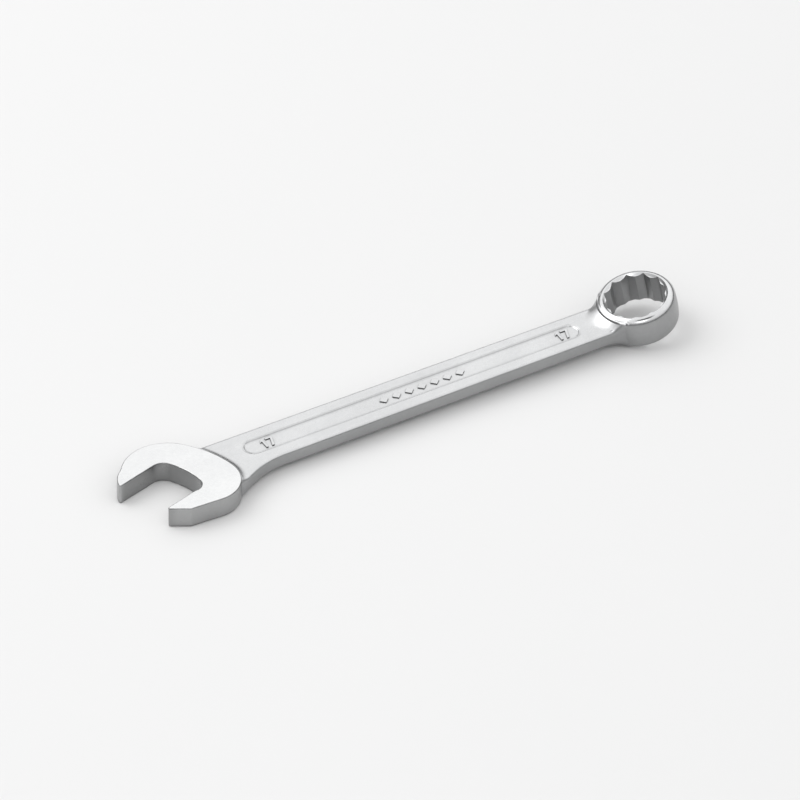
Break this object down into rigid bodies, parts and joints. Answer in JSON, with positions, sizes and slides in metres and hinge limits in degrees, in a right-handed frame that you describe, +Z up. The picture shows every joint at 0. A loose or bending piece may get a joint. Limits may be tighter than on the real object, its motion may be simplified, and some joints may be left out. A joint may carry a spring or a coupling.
{
  "type": "combination wrench",
  "caption": "Combination wrench: an angled open jaw and an inclined splined ring joined by a flat shank with a sunk panel, for turning hexagon nuts and bolts.",
  "frame": {"origin": "on the table, under the middle of the wrench's bounding box, with the wrench lying as it rests: ring rim and long prong tip both on Z = 0", "axes": "+X along the shank from the open end to the ring, +Y towards the long prong's side, +Z up; the shank rises 0.68 degrees towards the ring"},
  "size_m": [0.1908, 0.0334, 0.0145],
  "materials": {
    "polished_head": "ground and chrome plated, fine satin",
    "satin_shank": "forged and chrome plated, satin",
    "polished_ring": "turned and chrome plated, bright satin",
    "raised_marks": "forged and chrome plated, satin"
  },
  "bodies": {
    "root": {"open_end_head": "polished_head", "shank": "satin_shank", "ring_head": "polished_ring", "size_figures": "raised_marks", "panel_lozenges": "raised_marks"}
  },
  "joints": []
}
